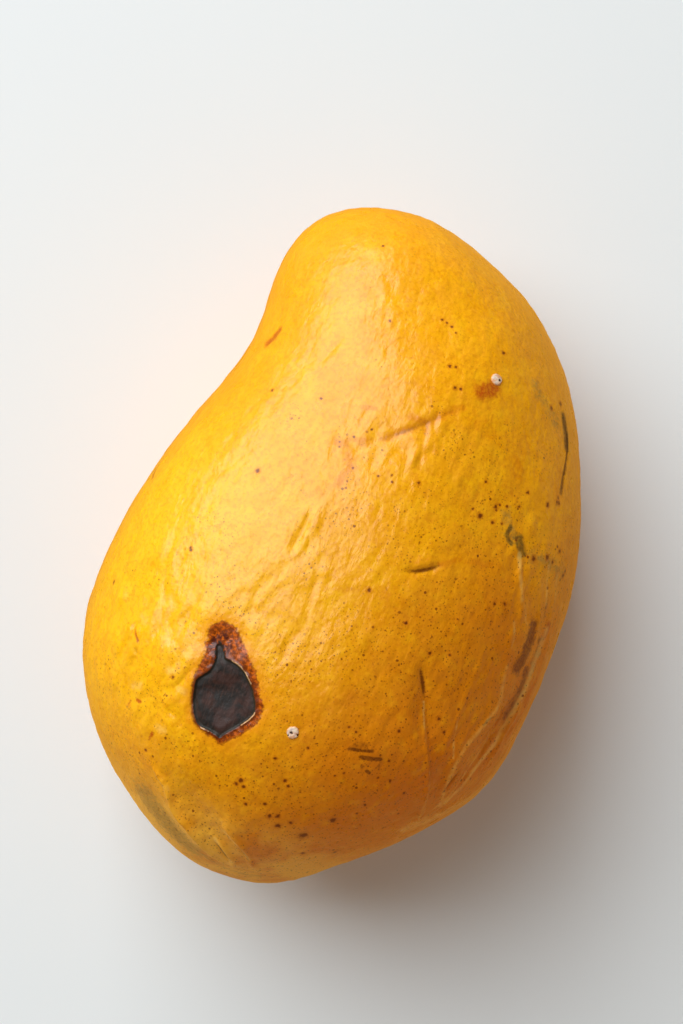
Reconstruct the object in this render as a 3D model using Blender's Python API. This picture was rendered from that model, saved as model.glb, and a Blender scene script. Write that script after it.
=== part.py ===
"""A ripe yellow mango with shrivelling skin, lying on its flatter cheek.

The fruit grew as one piece, so it is one solid. It is lofted from four edge lines: the left and right
edges seen from above, and the underside and top seen from the side. Folds, dents and scars are then
raised from or pressed into the skin, and the cheek that it lies on gets a small flat spot.

Metres, +Z up. The origin is on the table, under the middle of the fruit. +Y points to the apex, -Y to
the stem end.
"""

import math

import bmesh
import bpy
import numpy as np
from mathutils import Vector, noise
from mathutils.bvhtree import BVHTree

MM = 0.001

# The fruit's length, in mm
LENGTH = 124.0
HALF_LENGTH = LENGTH / 2

# Edge lines, in mm. There is a station every 15 degrees of a half turn from the apex to the stem end,
# and its place along the fruit is HALF_LENGTH times the cosine of that angle.
APEX_X, APEX_Z = -8.5, 31.0
STEM_END_X, STEM_END_Z = -1.5, 33.0
LEFT_EDGE = [-19.5, -26.8, -29.1, -29.0, -33.7, -38.8, -41.1, -39.2, -33.0, -23.3, -12.2]
RIGHT_EDGE = [2.8, 15.2, 25.8, 33.4, 38.7, 41.0, 40.6, 37.5, 28.5, 17.3, 8.4]
TOP = [40.5, 49.5, 56.0, 61.0, 65.0, 68.0, 69.5, 69.0, 65.0, 57.5, 46.0]
UNDERSIDE = [20.5, 12.0, 6.5, 3.0, 0.8, -0.6, -1.0, -0.4, 2.6, 9.0, 19.5]

# How much fuller than an ellipse the shoulders of a cross-section are
FULLNESS = 0.035

# Broad unevenness of the ripe flesh, in mm: its height, and the length of one swell
LUMP_HEIGHT = 0.7
LUMP_LENGTH = 21.0

# Dents and swellings, in mm: place seen from above, side of the fruit, radius, height
ABOVE, BELOW = 1, -1
DENTS = {
    "sunken scar": ((-11.0, -29.4), ABOVE, 8.0, -1.3),
    "neck of the scar": ((-15.2, -20.6), ABOVE, 5.5, -0.6),
    "hood over the scar": ((-18.0, -15.5), ABOVE, 5.0, 0.5),
    "shoulder below the scar": ((-19.0, -41.5), ABOVE, 12.0, 0.7),
    "hollow beside the apex": ((0.0, 44.0), ABOVE, 15.0, -0.8),
    "hollow on the right cheek": ((22.0, 14.0), ABOVE, 14.0, -0.7),
    "hollow under the left cheek": ((-24.0, -6.0), BELOW, 15.0, -1.2),
    "hollow under the stem end": ((6.0, -38.0), BELOW, 13.0, -1.2),
}

# Long folds of the loose skin, in mm: points seen from above, side, half the width, height
FOLDS = {
    "crease to the stem": ([(18, -13.5), (20.5, -18), (23, -23), (26.8, -29.5), (29, -35)], ABOVE, 3.0, -1.0),
    "ridge beside the crease": ([(21.5, -23.5), (23.5, -27.5), (26, -32), (27.5, -38)], ABOVE, 3.0, 0.6),
    "outer ridge": ([(34, -11), (32.5, -19.5), (30.5, -27), (29.5, -35)], ABOVE, 3.0, 0.6),
    "groove outside it": ([(36.5, -12), (35, -21), (32.5, -29.5)], ABOVE, 3.0, -0.7),
    "roll along the edge": ([(37.5, 4), (38.5, -6), (38, -16), (35.5, -26)], ABOVE, 3.8, 0.6),
    "long ridge at lower left": ([(-18.5, -46), (-12.7, -51), (-6, -55.2), (1.5, -58.3)], ABOVE, 3.0, 0.9),
    "groove outside the long ridge": ([(-20, -49.5), (-14, -54), (-7, -58.5)], ABOVE, 3.4, -0.8),
    "groove inside the long ridge": ([(-13.5, -46.5), (-8, -50.5), (-2, -54.5)], ABOVE, 2.8, -0.7),
    "short ridge at lower left": ([(-5, -49.5), (-1.5, -51.5), (2.5, -54.5)], ABOVE, 2.8, 0.6),
    "furrow in the middle": ([(-11, 17), (-4.5, 18.5), (1.5, 22.5), (7, 28)], ABOVE, 4.2, -0.5),
    "hidden groove": ([(30, -6), (28, -22), (22, -36)], BELOW, 4.5, -0.9),
    "hidden ridge": ([(-32, -16), (-24, -34), (-8, -46)], BELOW, 4.5, 0.7),
    "hidden groove at the neck": ([(-18, 40), (-10, 24), (-8, 8)], BELOW, 4.5, -0.8),
}
STEPS_ALONG_A_FOLD = 40
FOLD_FADE = 0.7  # under 1, so that a fold keeps most of its height until near its ends

# The pit that the stem grew from, and the scar where it broke off, in mm. The pit is in the lower
# half of the stem end, so it faces away from the upper cheek.
STEM_PLACE = (20.5, -49.5, 27.0)
PIT_RADIUS, PIT_DEPTH = 13.0, 4.5
STEM_SCAR_RADIUS, STEM_SCAR_HEIGHT = 5.0, 1.5

# The flat spot that the soft cheek rests on, in mm: how far it is pressed in, and the height over
# which the skin curves back to its own shape
REST_DEPTH = 1.2
REST_EASE = 1.5

# Mesh: edges along each side of the cube that is blown up into the fruit, and the patches with edges
# half as long, in mm: place and radius
CUBE_DIVISIONS = 26
FINE_PATCHES = {
    "stem pit": (STEM_PLACE, 9.0),
    "sunken scar": ((-11.0, -29.4, 67.0), 10.5),
    "folds at the lower left": ((-8.5, -51.5, 56.0), 12.5),
    "crease to the stem": ((26.0, -26.0, 60.0), 13.5),
}

SKIN_COLOUR = (0.83, 0.42, 0.025, 1.0)
SKIN_ROUGHNESS = 0.42


def closed_spline(values):
    """A smooth closed curve through evenly spaced values, as a function of the angle in radians."""
    values = np.asarray(values, float)
    count = len(values)
    step = 2 * math.pi / count
    before, after = np.roll(values, 1), np.roll(values, -1)
    system = 4 * np.eye(count) + np.roll(np.eye(count), 1, 1) + np.roll(np.eye(count), -1, 1)
    bend = np.linalg.solve(system, 6 * (before - 2 * values + after) / step**2)

    def at(angle):
        turn = np.mod(angle, 2 * math.pi) / step
        first = np.floor(turn).astype(int) % count
        second = (first + 1) % count
        b = turn - np.floor(turn)
        a = 1 - b
        curve = (a**3 - a) * bend[first] + (b**3 - b) * bend[second]
        return a * values[first] + b * values[second] + curve * step**2 / 6

    return at


def closed_edge(start, out, end, back):
    """The closed line from the apex along one side to the stem end, and home along the other."""
    return closed_spline([start, *out, end, *reversed(back)])


def loft(directions):
    """The plain fruit: each direction from its middle, placed on the loft of the four edge lines."""
    plan = closed_edge(APEX_X, RIGHT_EDGE, STEM_END_X, LEFT_EDGE)
    profile = closed_edge(APEX_Z, TOP, STEM_END_Z, UNDERSIDE)
    x, y, z = directions.T
    station = np.arccos(np.clip(y, -1, 1))
    right, left = plan(station), plan(-station)
    top, under = profile(station), profile(-station)
    ring = np.maximum(np.hypot(x, z), 1e-9)
    fuller = 1 + FULLNESS * (2 * x * z) ** 2
    across = (right + left) / 2 + (right - left) / 2 * x / ring * fuller
    up = (top + under) / 2 + (top - under) / 2 * z / ring * fuller
    return np.column_stack([across, HALF_LENGTH * y, up])


def place_on_loft(ball):
    """Where each vertex of the ball goes on the plain fruit, in mm."""
    return loft(np.array([vertex.co.normalized() for vertex in ball.verts]))


def blown_up_cube():
    """A cube divided evenly and blown up into a ball of radius 1, with no poles."""
    ball = bmesh.new()
    bmesh.ops.create_cube(ball, size=2)
    bmesh.ops.subdivide_edges(ball, edges=ball.edges, cuts=CUBE_DIVISIONS - 1, use_grid_fill=True)
    for vertex in ball.verts:
        vertex.co = Vector([math.tan(side * math.pi / 4) for side in vertex.co]).normalized()
    return ball


def divide_fine_patches(ball):
    """Halves the edges of the faces that lie in the fine patches."""
    faces = list(ball.faces)
    centres = loft(np.array([face.calc_center_median().normalized() for face in faces]))
    near = np.zeros(len(faces), bool)
    for place, radius in FINE_PATCHES.values():
        near |= np.linalg.norm(centres - np.array(place), axis=1) < radius
    edges = {edge for i in np.flatnonzero(near) for edge in faces[i].edges}
    bmesh.ops.subdivide_edges(ball, edges=list(edges), cuts=1, use_grid_fill=True)


def skin_tree(mesh, points):
    """A tree for finding the skin: it holds the faces at their places in mm."""
    faces = [[vertex.index for vertex in face.verts] for face in mesh.faces]
    return BVHTree.FromPolygons([Vector(point) for point in points], faces)


def on_skin(tree, place, side):
    """The point of the skin straight above or below a place in the plan."""
    start = Vector((place[0], place[1], side * LENGTH + HALF_LENGTH / 2))
    return np.array(tree.ray_cast(start, Vector((0, 0, -side)))[0])


def smooth_fall(distance):
    """1 at distance 0, falling smoothly to 0 at distance 1 and beyond."""
    return np.clip(1 - distance**2, 0, 1) ** 2


def through(points, count):
    """Evenly counted points on a smooth curve through a fold's own points."""
    knots = np.arange(len(points))
    spread = np.linspace(0, len(points) - 1, count)
    padded = np.array([2 * points[0] - points[1], *points, 2 * points[-1] - points[-2]])
    first = np.minimum(spread.astype(int), knots[-1] - 1)
    t = (spread - first)[:, None]
    p0, p1, p2, p3 = (padded[first + i] for i in range(4))
    return p1 + t / 2 * (p2 - p0 + t * (2 * p0 - 5 * p1 + 4 * p2 - p3 + t * (3 * (p1 - p2) + p3 - p0)))


def dent_height(points, tree, place, side, radius, height):
    centre = on_skin(tree, place, side)
    return height * smooth_fall(np.linalg.norm(points - centre, axis=1) / radius)


def fold_height(points, tree, path, side, half_width, height):
    route = through(np.array(path), STEPS_ALONG_A_FOLD)
    route = np.array([on_skin(tree, place, side) for place in route])
    away = np.linalg.norm(points[:, None] - route[None], axis=2)
    nearest = away.argmin(axis=1)
    fading = np.sin(math.pi * (nearest + 0.5) / STEPS_ALONG_A_FOLD) ** FOLD_FADE
    return height * fading * smooth_fall(away.min(axis=1) / half_width)


def stem_height(points):
    """The pit at the stem end, with the low round scar of the stem in its middle."""
    away = np.linalg.norm(points - np.array(STEM_PLACE), axis=1)
    scar = STEM_SCAR_HEIGHT * smooth_fall(away / STEM_SCAR_RADIUS)
    return scar - PIT_DEPTH * smooth_fall(away / PIT_RADIUS)


def lump_height(points):
    return LUMP_HEIGHT * np.array([noise.noise(Vector(point / LUMP_LENGTH)) for point in points])


def relief(points, tree):
    """How far each point of the skin stands out of the plain fruit, in mm."""
    height = lump_height(points) + stem_height(points)
    for place, side, radius, depth in DENTS.values():
        height += dent_height(points, tree, place, side, radius, depth)
    for path, side, half_width, depth in FOLDS.values():
        height += fold_height(points, tree, path, side, half_width, depth)
    return height


def press_flat(points):
    """The weight of the fruit flattens the spot that it lies on, which is put at height 0."""
    above = points[:, 2] - points[:, 2].min() - REST_DEPTH
    eased = np.where(above < REST_EASE, above**2 / (2 * REST_EASE), above - REST_EASE / 2)
    points[:, 2] = np.where(above < 0, 0, eased)


def centre_on_origin(points):
    points[:, :2] -= (points[:, :2].min(axis=0) + points[:, :2].max(axis=0)) / 2


def set_points(mesh, points):
    for vertex, point in zip(mesh.verts, points):
        vertex.co = point


def skin_material():
    skin = bpy.data.materials.new("mango_skin")
    skin.use_nodes = True
    shader = skin.node_tree.nodes["Principled BSDF"]
    shader.inputs["Base Color"].default_value = SKIN_COLOUR
    shader.inputs["Roughness"].default_value = SKIN_ROUGHNESS
    shader.inputs["Metallic"].default_value = 0.0
    return skin


def build_mango():
    fruit = blown_up_cube()
    tree = skin_tree(fruit, place_on_loft(fruit))
    divide_fine_patches(fruit)

    points = place_on_loft(fruit)
    set_points(fruit, points)
    fruit.normal_update()
    outward = np.array([vertex.normal for vertex in fruit.verts])
    points += outward * relief(points, tree)[:, None]
    press_flat(points)
    centre_on_origin(points)
    set_points(fruit, points * MM)

    mesh = bpy.data.meshes.new("mango")
    fruit.to_mesh(mesh)
    fruit.free()
    mesh.shade_smooth()
    mesh.materials.append(skin_material())
    mango = bpy.data.objects.new("mango", mesh)
    bpy.context.scene.collection.objects.link(mango)


for old in list(bpy.data.objects):
    bpy.data.objects.remove(old)
build_mango()
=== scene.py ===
"""A ripe yellow mango with shrivelling skin, lying on a pale table and seen from straight above.

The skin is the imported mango's own mesh, made finer. Creases, folds, wrinkles and the sunken scar are then
shaped in it, and what is only colour is in its material. Two scale insects sit on the skin.

Lengths are in mm where a name doesn't say otherwise, and the scene itself is in metres. A place on the
skin is given by the pixel of the 683 x 1024 photograph where it shows, and a ray from the camera finds it.
Colours are the 0 to 255 numbers that a picture shows, but those of the lights and the table are shares
of white.
"""

import math

import bpy
import numpy as np
from mathutils import Matrix, Vector, noise
from mathutils.bvhtree import BVHTree


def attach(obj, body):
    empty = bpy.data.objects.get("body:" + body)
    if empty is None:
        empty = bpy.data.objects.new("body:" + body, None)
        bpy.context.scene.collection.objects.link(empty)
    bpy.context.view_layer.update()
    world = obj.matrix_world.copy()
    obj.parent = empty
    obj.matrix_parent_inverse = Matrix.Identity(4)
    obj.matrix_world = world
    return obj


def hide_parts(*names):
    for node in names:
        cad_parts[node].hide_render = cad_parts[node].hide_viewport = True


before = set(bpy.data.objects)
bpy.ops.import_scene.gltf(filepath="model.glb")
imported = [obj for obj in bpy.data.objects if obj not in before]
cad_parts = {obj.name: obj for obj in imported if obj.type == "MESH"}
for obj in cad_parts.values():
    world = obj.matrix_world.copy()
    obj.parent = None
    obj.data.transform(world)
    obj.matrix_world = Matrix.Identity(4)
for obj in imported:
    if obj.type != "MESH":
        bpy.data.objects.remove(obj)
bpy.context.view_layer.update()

MM = 0.001

# The camera, straight above the table. The photograph's up is turned from the fruit's +Y, so that the
# apex points to the upper right.
PHOTO_WIDTH, PHOTO_HEIGHT = 683, 1024
CAMERA_PLACE = Vector((-3.45, 6.8, 547.0))
CAMERA_TURN = math.radians(20)
LENS, SENSOR = 100.0, 36.0
PIXELS_PER_RADIAN = LENS / SENSOR * PHOTO_HEIGHT

# The photograph's right and up as directions on the table, and the pixel in the middle of the fruit
RIGHT = Vector((math.cos(CAMERA_TURN), math.sin(CAMERA_TURN), 0))
UP = Vector((-math.sin(CAMERA_TURN), math.cos(CAMERA_TURN), 0))
FRUIT_MIDDLE = np.array([346.0, 554.0])

# The large window at the upper left, leaning over the table. Its right edge is straight above the fruit.
# A light's place is how far its middle is to the photograph's right, up, and above the table
WINDOW_PLACE = (-1250.0, 1270.0, 1270.0)
WINDOW_SIZE = 2500.0
WINDOW_LEAN = math.radians(45)
WINDOW_WATTS = 90.0
WINDOW_COLOUR = (0.88, 0.96, 1.01)

# The dim room all round
ROOM_STRENGTH = 0.22
ROOM_COLOUR = (1.0, 0.91, 0.82)

# The faint warm light that comes back low from the room at the lower right
FILL_PLACE = (1100.0, -1100.0, 260.0)
FILL_SIZE = 900.0
FILL_WATTS = 3.4
FILL_COLOUR = (1.0, 0.78, 0.52)

# The table, and under it a warm glowing card that only the fruit's gloss shows: a painted reflection of
# the table's shaded top
TABLE_SIZE = 6000.0
TABLE_COLOUR = (0.80, 0.80, 0.79)
TABLE_ROUGHNESS = 0.55
GLOW_DEPTH = 2.0
GLOW_COLOUR = (0.44, 0.20, 0.05)

# The closed outlines of the scar, in pixels of the photograph: the dark plate with its neck, and the
# orange patch of dying skin round it
SCAR_PLATE = [(219, 643), (215.5, 646), (215.5, 655), (214, 661), (211.5, 667), (207, 672), (199, 677),
              (195.5, 681), (194, 689), (193, 700), (193.5, 712), (196, 721), (201, 727), (209, 731),
              (215, 734.5), (219.5, 738), (224, 735), (232, 730.5), (241, 725), (248, 720), (254, 714),
              (255.5, 705), (254, 696), (252, 687), (247, 676), (241.5, 668), (234, 662), (226, 658),
              (225, 653), (223, 646)]
SCAR_PATCH = [(212, 625), (217, 622), (227, 622.5), (234, 626), (238.5, 633), (242, 642), (247, 652),
              (252, 664), (256, 676), (258.5, 687), (259.5, 697), (263.5, 703), (263, 709), (261, 716),
              (254, 725), (243, 733), (232, 738), (220.5, 744), (213, 738), (204, 732), (197, 725),
              (193, 714), (191.5, 699), (192.5, 685), (195, 676), (198, 667), (202, 661), (205, 654),
              (205.5, 644), (208, 637), (208.5, 629)]
SCAR_MIDDLE = (225, 690)
SCAR_NECK = (221, 645)
NECK_RADIUS = 2.6
# How deep the plate is sunk, how wide the wall down to it is, and how high it rises again in the middle
PLATE_DEPTH, PLATE_WALL, PLATE_DOME = 0.30, 0.45, 0.22
# How far the dying skin is sunk at the neck, and how lumpy it is
NECK_DEPTH, PATCH_LUMPS = 0.14, 0.10
# The stretches of the plate's edge where the torn skin stands up pale, in pixels: middle and radius
TORN_RIM_ARCS = [((242, 672), 19), ((249, 720), 12), ((205, 729), 6)]
TORN_RIM_HEIGHT, TORN_RIM_WIDTH = 0.15, 0.20

# The middle of the stem's scar, and the middle of the most lemon yellow part, in the fruit's own frame.
# That lemon part lies towards the window, and its lemon is partly painted light
STEM_PLACE = (20.5, -49.5, 27.0)
LEMON_AND_LIGHT_MIDDLE = (-27.0, -17.0, 50.0)

# Creases and ridges of the skin: points in pixels of the photograph, half the width, height, and how
# brown its bottom is, from 0 to 1. That brown is partly the creases' own browning, partly painted shade
FOLDS = {
    "long crease left of the middle": ([(314, 508), (306, 523), (299, 538), (291, 552)], 0.6, -0.34, 0.15),
    "shoulder of the long crease": ([(320, 514), (312, 531), (302, 549)], 0.8, 0.14, 0.0),
    "brown crease in the middle": ([(405, 571), (418, 571), (430, 569), (441, 565)], 0.6, -0.50, 1.0),
    "lip of the brown crease": ([(408, 565), (422, 565), (438, 560)], 0.9, 0.15, 0.0),
    "dark crease": ([(420, 666), (422, 676), (424, 688), (424.5, 699)], 0.55, -0.45, 1.0),
    "crease down to the stem": (
        [(425, 700), (427, 722), (429, 745), (431, 765), (432, 784)], 0.6, -0.22, 0.15),
    "ridge down to the stem": (
        [(422, 702), (424, 727), (426, 752), (428, 775), (426, 793), (421, 811), (417, 824)], 0.6, 0.42, 0.0),
    "crease of the outer fold": ([(463, 767), (457, 776), (449, 786), (443, 793)], 0.5, -0.30, 0.6),
    "outer ridge": ([(504, 690), (493, 714), (480, 730), (464, 752), (453, 774), (440, 795)], 0.7, 0.22, 0.0),
    "second outer ridge": (
        [(522, 682), (506, 714), (490, 742), (474, 766), (458, 790), (444, 812)], 0.8, 0.22, 0.0),
    "third outer ridge": ([(540, 655), (528, 688), (510, 724), (494, 754), (478, 778)], 0.8, 0.22, 0.0),
    "fourth outer ridge": ([(553, 600), (548, 640), (536, 680)], 0.7, 0.2, 0.0),
    "first groove between the outer ridges": (
        [(513, 690), (500, 716), (485, 738), (469, 762)], 0.6, -0.2, 0.1),
    "second groove between the outer ridges": (
        [(531, 672), (517, 704), (500, 736), (484, 762)], 0.6, -0.2, 0.1),
    "streak in the lower right": ([(487, 640), (478, 668), (465, 700), (452, 728)], 0.7, 0.12, 0.0),
    "second streak in the lower right": ([(470, 690), (458, 716), (447, 742), (441, 768)], 0.6, 0.14, 0.0),
    "third streak in the lower right": ([(484, 706), (470, 728), (457, 752), (447, 774)], 0.6, 0.16, 0.0),
    "streak right of the middle": ([(514, 623), (511, 640), (507, 667), (501, 688)], 0.8, 0.2, 0.0),
    "pale streak": ([(519, 556), (520, 580), (521, 612), (517, 640)], 0.7, 0.28, 0.0),
    "second pale streak": ([(540, 575), (541, 600), (538, 625), (535, 652)], 0.7, 0.22, 0.0),
    "long ridge at the lower left": (
        [(152, 765), (160, 777), (167, 789), (175, 811), (191, 832), (212, 854), (232, 867)], 0.6, 0.75, 0.0),
    "hollow above the long ridge": (
        [(166, 776), (180, 806), (197, 828), (217, 851), (234, 863)], 0.8, -0.28, 0.15),
    "first short ridge": ([(212, 836), (219, 843), (226, 852), (232, 861), (236, 869)], 0.55, 0.55, 0.0),
    "crease below the first short ridge": ([(215, 842), (222, 852), (230, 862)], 0.5, -0.42, 0.8),
    "second short ridge": ([(222, 822), (231, 835), (243, 848), (251, 862), (259, 872)], 0.6, 0.55, 0.0),
    "crease below the second short ridge": ([(239, 847), (245, 854), (250, 861)], 0.5, -0.35, 0.7),
    "swelling at the lower left": ([(181, 754), (190, 770), (197, 786)], 1.6, 0.25, 0.0),
    "furrow right of the middle": (
        [(372, 441), (390, 436), (406, 431), (425, 423), (444, 415), (468, 406)], 0.75, -0.22, 0.5),
    "branch of the furrow": ([(426, 421), (427, 429), (425, 438)], 0.6, -0.18, 0.4),
    "lip of the furrow": ([(396, 444), (414, 438), (434, 429), (452, 419)], 0.9, 0.10, 0.0),
    "first dimple under the furrow": ([(434, 434), (437, 446), (434, 456)], 0.75, 0.26, 0.0),
    "second dimple under the furrow": ([(421, 446), (416, 456), (409, 466)], 0.7, 0.24, 0.0),
    "third dimple under the furrow": ([(464, 467), (459, 478), (454, 485)], 0.8, 0.2, 0.0),
    "crease beside the hollow": ([(262, 348), (270, 341), (277, 334)], 0.6, -0.14, 0.0),
    "upper long wrinkle": ([(352, 322), (338, 342), (324, 358)], 0.9, -0.16, 0.1),
    "wrinkle below the middle": ([(322, 572), (314, 590), (309, 612)], 0.8, -0.25, 0.2),
    "lip below the middle": ([(327, 566), (319, 588), (314, 610)], 0.8, 0.16, 0.0),
    "wrinkle left of the scar": ([(196, 606), (185, 625), (174, 648)], 0.9, -0.25, 0.15),
    "second wrinkle left of the scar": ([(180, 600), (168, 622), (160, 640)], 0.9, -0.16, 0.0),
    "wrinkle right of the scar": ([(292, 633), (285, 650), (281, 662)], 0.8, -0.2, 0.1),
    "crease over the scar": ([(262, 580), (254, 600), (249, 622)], 0.7, -0.2, 0.15),
    "dark line at the right edge": (
        [(564, 418), (566.5, 440), (567, 456), (564, 476), (561, 492)], 0.4, -0.25, 0.6),
    "small crease at the left": ([(134, 645), (137, 655)], 0.4, -0.15, 0.5),
}

# Where the faces are made finer: how near a fold, or a stain or painted highlight that is narrower than
# the width given below, how near the scar's middle, and how near the edge of its plate. Faces that look
# down further than COARSE_BELOW, as the Z of their outward direction, stay larger
FINE_REACH = 1.2
FINE_MARK = 0.7
SCAR_REACH = 9.0
PLATE_EDGE_REACH = 0.9
COARSE_BELOW = -0.3

# Stains, and painted highlights of the pale kind: kind, points in pixels, half the width, and how strong,
# from 0 to 1
STAINS_AND_HIGHLIGHTS = [
    ("orange", [(348, 455), (350, 467), (342, 476), (339, 483)], 1.0, 0.8),
    ("orange", [(338, 442), (352, 441), (368, 440)], 0.8, 0.8),
    ("orange", [(342, 445), (356, 445), (369, 444)], 0.6, 0.6),
    ("orange", [(384, 438), (402, 432), (420, 425), (440, 417), (462, 408)], 0.9, 0.8),
    ("orange", [(410, 418), (424, 421), (427, 430)], 0.9, 0.7),
    ("orange", [(520, 445), (517, 470), (512, 490)], 3.0, 0.45),
    ("orange", [(480, 425), (500, 440)], 2.5, 0.35),
    ("orange", [(560, 470), (556, 500)], 1.4, 0.4),
    ("orange", [(441, 564), (465, 561), (490, 566)], 0.9, 0.6),
    ("orange", [(415, 560), (428, 559)], 0.9, 0.4),
    ("rust", [(267, 343), (273, 338), (279, 331)], 0.95, 0.85),
    ("orange", [(362, 407), (375, 408)], 0.5, 0.9),
    ("brown", [(349, 749), (360, 750.5), (372, 751)], 0.36, 1.0),
    ("brown", [(361, 757), (370, 758.5), (380, 759.5)], 0.42, 1.0),
    ("brown", [(362, 765), (362, 768)], 0.34, 0.6),
    ("brown", [(379, 765), (379, 769)], 0.30, 0.6),
    ("orange", [(352, 746), (368, 754), (376, 765)], 1.8, 0.5),
    ("brown", [(367, 771), (369, 773)], 0.36, 0.9),
    ("brown", [(356, 745), (366, 745)], 0.8, 0.45),
    ("dark", [(563, 418), (565.3, 432), (566.2, 447)], 1.10, 1.0),
    ("brown",
     [(563, 417), (565, 430), (566.5, 441), (567, 452), (565.5, 466), (563.5, 478), (561, 492)], 0.55, 1.0),
    ("rust", [(548, 625), (546, 632), (543, 638)], 0.8, 0.8),
    ("brown", [(498, 715), (489, 719), (483, 725)], 0.28, 0.8),
    ("rust", [(156, 469), (152, 478)], 0.42, 0.9),
    ("rust", [(152, 733), (151, 736)], 0.34, 1.0),
    ("rust", [(150, 737), (149, 740)], 0.24, 0.8),
    ("rust", [(137, 700), (140, 701.5)], 0.34, 1.0),
    ("rust", [(131, 700), (128, 705)], 0.22, 0.9),
    ("rust", [(134.5, 629), (136.5, 635), (138, 641)], 0.26, 1.0),
    ("brown", [(205, 856), (230, 870), (262, 876)], 1.2, 0.35),
    ("rust", [(482, 392), (488, 391), (493, 388)], 1.6, 1.0),
    ("plum", [(533, 627), (530, 640), (524, 656), (519, 668)], 1.4, 1.0),
    ("plum", [(522, 658), (518, 668)], 1.3, 1.0),
    ("plum", [(527, 672), (522, 686), (514, 702), (506, 716)], 1.5, 0.75),
    ("plum", [(540, 640), (537, 655), (530, 672)], 1.2, 0.5),
    ("plum", [(547, 600), (545, 618)], 0.7, 0.4),
    ("green", [(510, 527), (507.3, 532), (508, 538), (511.5, 543)], 0.48, 1.0),
    ("green", [(519, 538), (520.5, 546), (521.5, 553)], 0.95, 1.0),
    ("olive", [(506, 512), (508, 526), (512, 538)], 1.6, 0.5),
    ("olive", [(534, 557), (548, 562), (562, 574)], 1.8, 0.5),
    ("olive", [(534, 384), (541, 397), (549, 410), (556, 424)], 1.6, 0.5),
    ("green", [(555, 414), (557, 422)], 0.6, 0.5),
    ("green", [(557, 499), (557, 505)], 0.5, 0.5),
    ("olive", [(144, 795), (156, 811), (171, 829), (190, 846)], 3.6, 0.8),
    # From here on the pale kind: painted highlights, light caught along the ridges and on bumps
    ("pale",
     [(157, 776), (166, 786), (171, 800), (177, 815), (189, 833), (201, 845), (216, 858),
      (232, 865)], 0.36, 1.0),
    ("pale", [(162, 782), (167, 788)], 0.55, 1.0),
    ("pale", [(168, 641), (170, 643)], 0.8, 0.8),
    ("pale", [(184, 654), (189, 655)], 0.8, 0.7),
    ("pale", [(169, 671), (173, 671)], 0.8, 0.8),
    ("pale", [(133, 686), (141, 685)], 0.8, 0.6),
    ("pale", [(180, 690), (185, 692)], 0.9, 0.6),
    ("pale", [(142, 616), (147, 622)], 1.0, 0.6),
    ("pale", [(170, 600), (173, 606)], 1.0, 0.6),
    ("pale", [(158, 728), (164, 730)], 0.9, 0.6),
    ("pale", [(215, 838), (225, 851), (234, 863), (239, 868)], 0.34, 1.0),
    ("pale", [(222, 830), (237, 845), (245, 854), (256, 867)], 0.34, 1.0),
    ("pale", [(519.5, 553), (520, 575), (521.5, 600)], 0.46, 0.9),
    ("pale", [(524, 606), (527, 624)], 0.40, 0.5),
    ("pale", [(549, 566), (547.5, 585), (546, 604)], 0.30, 0.8),
    ("pale", [(557, 575), (555, 600)], 0.26, 0.7),
    ("pale", [(514, 622), (514, 633), (512, 646)], 0.35, 0.6),
    ("pale", [(424, 702), (424, 727), (426, 752), (429, 775), (427, 793), (421, 811), (417, 824)], 0.28, 0.9),
    ("pale",
     [(506, 668), (502, 690), (499, 704), (480, 730), (462, 752), (448, 782), (439, 806)], 0.60, 0.55),
    ("pale", [(457, 721), (454, 742), (453, 758)], 0.26, 0.6),
    ("pale", [(489, 736), (471, 764), (450, 794), (434, 809)], 0.30, 0.7),
    ("pale", [(486, 784), (464, 802), (438, 816), (408, 828)], 2.6, 0.55),
    ("pale", [(546, 630), (534, 664), (524, 692), (513, 712), (495, 742), (471, 773), (444, 803)], 0.80, 0.7),
]

# The kinds of stain and painted highlight, in the order in which they cover each other: colour, how ragged
# the edge is, and how strong. The bruises among them also dull the gloss, and the pale kind is painted
# highlight
STAIN_AND_HIGHLIGHT_KINDS = {
    "orange": ((216, 116, 0), 1.5, 0.60),
    "rust": ((186, 78, 4), 0.9, 0.95),
    "plum": ((118, 52, 16), 1.6, 0.90),
    "olive": ((160, 122, 56), 1.5, 0.75),
    "green": ((72, 62, 18), 1.2, 0.80),
    "brown": ((104, 48, 4), 1.0, 0.90),
    "dark": ((44, 32, 20), 0.8, 0.95),
    # Painted highlight, on the ridges and bumps
    "pale": ((254, 200, 100), 1.1, 0.55),
}
BRUISES = ("plum", "green")

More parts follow.
